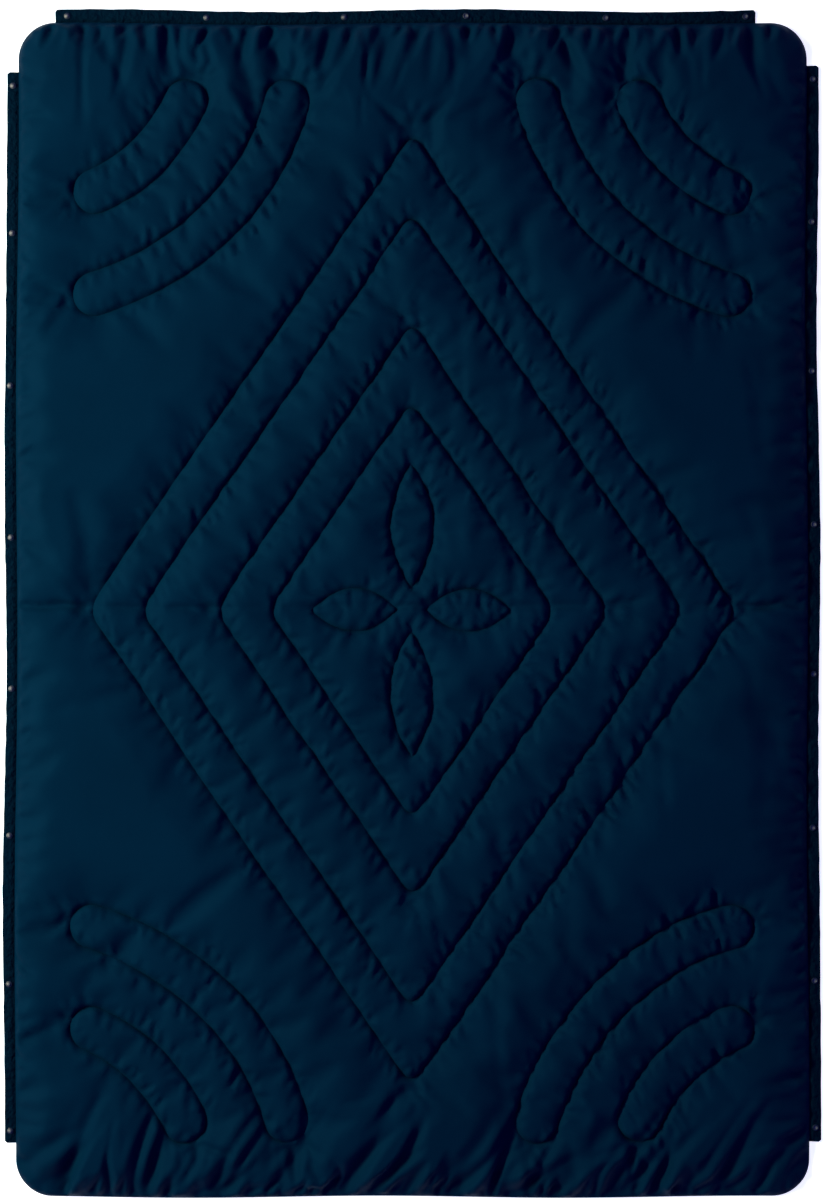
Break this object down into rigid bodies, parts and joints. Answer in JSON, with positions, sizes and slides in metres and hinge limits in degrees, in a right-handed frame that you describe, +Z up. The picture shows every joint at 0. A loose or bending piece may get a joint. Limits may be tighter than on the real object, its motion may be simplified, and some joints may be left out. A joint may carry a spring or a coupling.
{
  "type": "quilted outdoor blanket",
  "caption": "Filled outdoor blanket, lozenge-quilted, lying flat, with snap tapes along its head end and both sides.",
  "frame": {"origin": "on the ground under the middle of the whole blanket, tapes included", "axes": "+X across the blanket to the right, +Y towards the head end that carries the top tape, +Z up"},
  "size_m": [1.3748, 1.9962, 0.025],
  "materials": {
    "shell_cloth": "smooth fine plain-weave nylon, deep petrol blue, soft low sheen",
    "tape_cloth": "flat woven polyester tape, near-black navy, matt",
    "snap_metal": "gunmetal-plated pressed snap, satin"
  },
  "bodies": {
    "root": {"quilted_body": "shell_cloth", "tape_top": "tape_cloth", "tape_left": "tape_cloth", "tape_right": "tape_cloth", "snap_top_1": "snap_metal", "snap_top_2": "snap_metal", "snap_top_3": "snap_metal", "snap_top_4": "snap_metal", "snap_top_5": "snap_metal", "snap_top_6": "snap_metal", "snap_left_1": "snap_metal", "snap_left_2": "snap_metal", "snap_left_3": "snap_metal", "snap_left_4": "snap_metal", "snap_left_5": "snap_metal", "snap_left_6": "snap_metal", "snap_left_7": "snap_metal", "snap_left_8": "snap_metal", "snap_right_1": "snap_metal", "snap_right_2": "snap_metal", "snap_right_3": "snap_metal", "snap_right_4": "snap_metal", "snap_right_5": "snap_metal", "snap_right_6": "snap_metal", "snap_right_7": "snap_metal", "snap_right_8": "snap_metal"}
  },
  "joints": []
}
